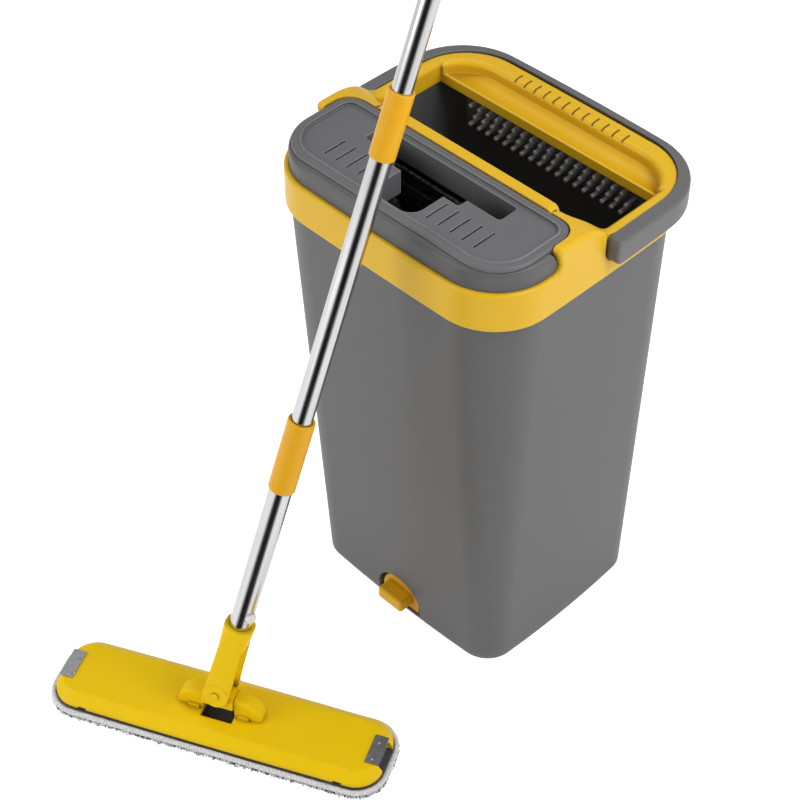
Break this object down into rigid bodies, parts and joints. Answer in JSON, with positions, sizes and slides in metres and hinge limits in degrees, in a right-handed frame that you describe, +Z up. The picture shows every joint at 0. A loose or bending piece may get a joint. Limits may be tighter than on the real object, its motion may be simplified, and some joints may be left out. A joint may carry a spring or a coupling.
{
  "type": "flat mop and wringer bucket set",
  "caption": "Square two-compartment wringer bucket with slotted lid, yellow collar and swing handle, and a flat mop on a jointed telescopic pole.",
  "frame": {"origin": "on the floor under the middle of the bucket", "axes": "+Z up, +X along the front edge of the lid, +Y from the lid towards the wash side and the handle"},
  "size_m": [0.2751, 0.4654, 1.0183],
  "materials": {
    "grey_plastic": "satin, finely textured",
    "yellow_plastic": "semi-gloss",
    "dark_plastic": "satin",
    "peg_elastomer": "satin",
    "handle_plastic": "satin",
    "screw_steel": "plain",
    "lip_rubber": "matt",
    "gold_plastic": "semi-gloss",
    "mop_yellow_plastic": "semi-gloss",
    "clip_steel": "stamped sheet",
    "hook_tape": "hook tape",
    "pad_backing_cloth": "woven",
    "pad_microfibre": "looped pile",
    "pole_steel": "polished",
    "white_plastic": "gloss"
  },
  "bodies": {
    "tub_body": {"tub": "grey_plastic", "collar": "yellow_plastic", "divider_bar": "yellow_plastic", "brush_board": "dark_plastic", "brush_pegs": "peg_elastomer", "handle_pivots": "handle_plastic"},
    "handle_body": {"handle": "handle_plastic"},
    "lid_body": {"lid": "grey_plastic", "wringer_frame": "dark_plastic", "lid_screws": "screw_steel", "front_scrapers": "dark_plastic", "front_lips": "lip_rubber", "flap_pin": "screw_steel"},
    "flap_body": {"scraper_flap": "dark_plastic", "flap_lip": "lip_rubber", "flap_springs": "screw_steel"},
    "plug_body": {"drain_plug": "gold_plastic", "plug_gasket": "lip_rubber"},
    "mop_head_body": {"head_plate": "mop_yellow_plastic", "head_clips": "clip_steel", "clip_rivets": "clip_steel", "hook_strips": "hook_tape", "pad_backing": "pad_backing_cloth", "pad": "pad_microfibre", "roll_pins": "screw_steel"},
    "yoke_body": {"yoke": "dark_plastic", "pitch_pin": "screw_steel"},
    "fork_body": {"fork": "mop_yellow_plastic", "lower_tube": "pole_steel"},
    "button_body": {"snap_button": "white_plastic", "button_spring": "screw_steel"},
    "pole_body": {"mid_tube": "pole_steel", "lock_sleeve": "dark_plastic", "upper_collar": "gold_plastic", "coupling_plug": "dark_plastic", "upper_tube": "pole_steel", "hand_grip": "dark_plastic", "grip_cap": "gold_plastic"},
    "collar_lock_body": {"lower_collar": "gold_plastic"}
  },
  "joints": [
    {"name": "handle_swing", "type": "hinge", "parent": "tub_body", "child": "handle_body", "pos_m": [0, 0.013, 0.405], "axis": [-1, 0, 0], "range_deg": [-97, 0]},
    {"name": "lid_lift", "type": "slide", "parent": "tub_body", "child": "lid_body", "axis": [0, 0, 1], "range_m": [0, 0.09]},
    {"name": "flap_swing", "type": "hinge", "parent": "lid_body", "child": "flap_body", "pos_m": [0, -0.0346, 0.4058], "axis": [1, 0, 0], "range_deg": [0, 8], "stiffness_Nm_per_rad": 0.05, "springref_deg": -8.59},
    {"name": "plug_pull", "type": "slide", "parent": "tub_body", "child": "plug_body", "axis": [0, -1, 0], "range_m": [0, 0.035]},
    {"name": "mop_lift", "type": "slide", "parent": "tub_body", "child": "mop_head_body", "axis": [0, 0, 1], "range_m": [0, 0.25]},
    {"name": "head_roll", "type": "hinge", "parent": "mop_head_body", "child": "yoke_body", "pos_m": [-0.0123, -0.2641, 0.0339], "axis": [0.8988, 0.4384, 0], "range_deg": [-4, 103.39]},
    {"name": "fork_pitch", "type": "hinge", "parent": "yoke_body", "child": "fork_body", "pos_m": [-0.01321, -0.26223, 0.04265], "axis": [-0.4265, 0.8744, -0.2316], "range_deg": [-101.56, 38.44]},
    {"name": "button_press", "type": "slide", "parent": "fork_body", "child": "button_body", "axis": [-0.99, 0.1345, 0.0426], "range_m": [0, 0.0028], "stiffness_N_per_m": 600, "springref_m": -0.001},
    {"name": "pole_slide", "type": "slide", "parent": "fork_body", "child": "pole_body", "axis": [0.0807, 0.2918, 0.9531], "range_m": [-0.068, 0.042]},
    {"name": "collar_twist", "type": "hinge", "parent": "fork_body", "child": "collar_lock_body", "pos_m": [0.00305, -0.20338, 0.23489], "axis": [0.0807, 0.2918, 0.9531], "range_deg": [0, 90]}
  ]
}
